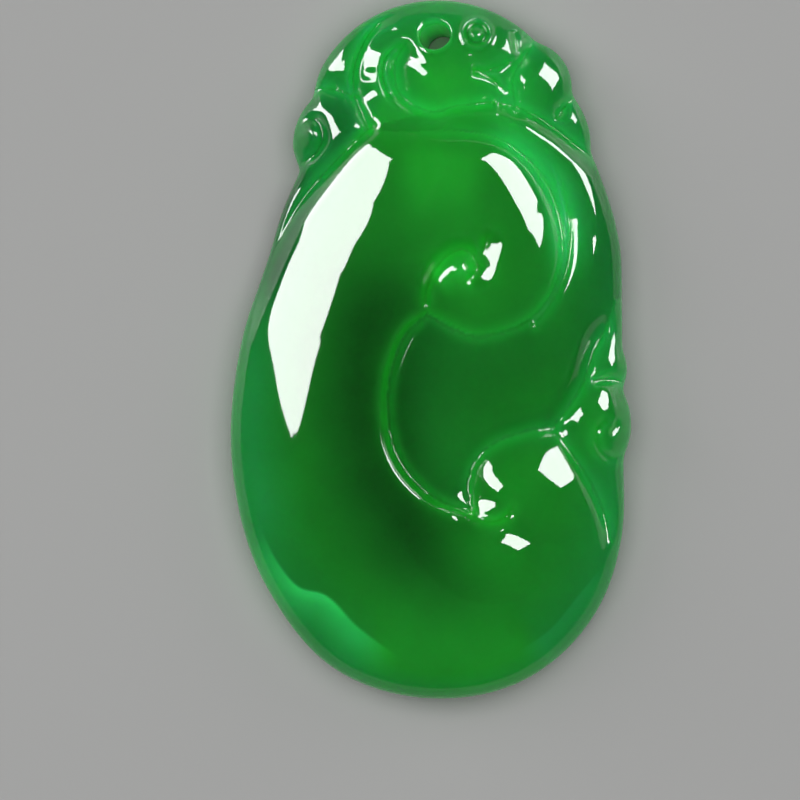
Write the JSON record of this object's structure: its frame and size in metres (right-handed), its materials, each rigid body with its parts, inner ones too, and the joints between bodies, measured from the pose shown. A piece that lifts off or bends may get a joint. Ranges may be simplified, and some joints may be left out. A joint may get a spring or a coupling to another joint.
{
  "type": "carved ruyi pendant",
  "caption": "Green chalcedony ruyi pendant: a domed scroll with rolled volutes and a small beast head bored for a cord.",
  "frame": {"origin": "under the middle of the bounding box, on the plane of the flat back", "axes": "+Y towards the head and its cord hole, +Z out of the carved front, +X to the right seen from the front"},
  "size_m": [0.0286, 0.05, 0.0083],
  "materials": {
    "chalcedony": "high polish, translucent"
  },
  "bodies": {
    "root": {"ruyi_pendant": "chalcedony"}
  },
  "joints": []
}
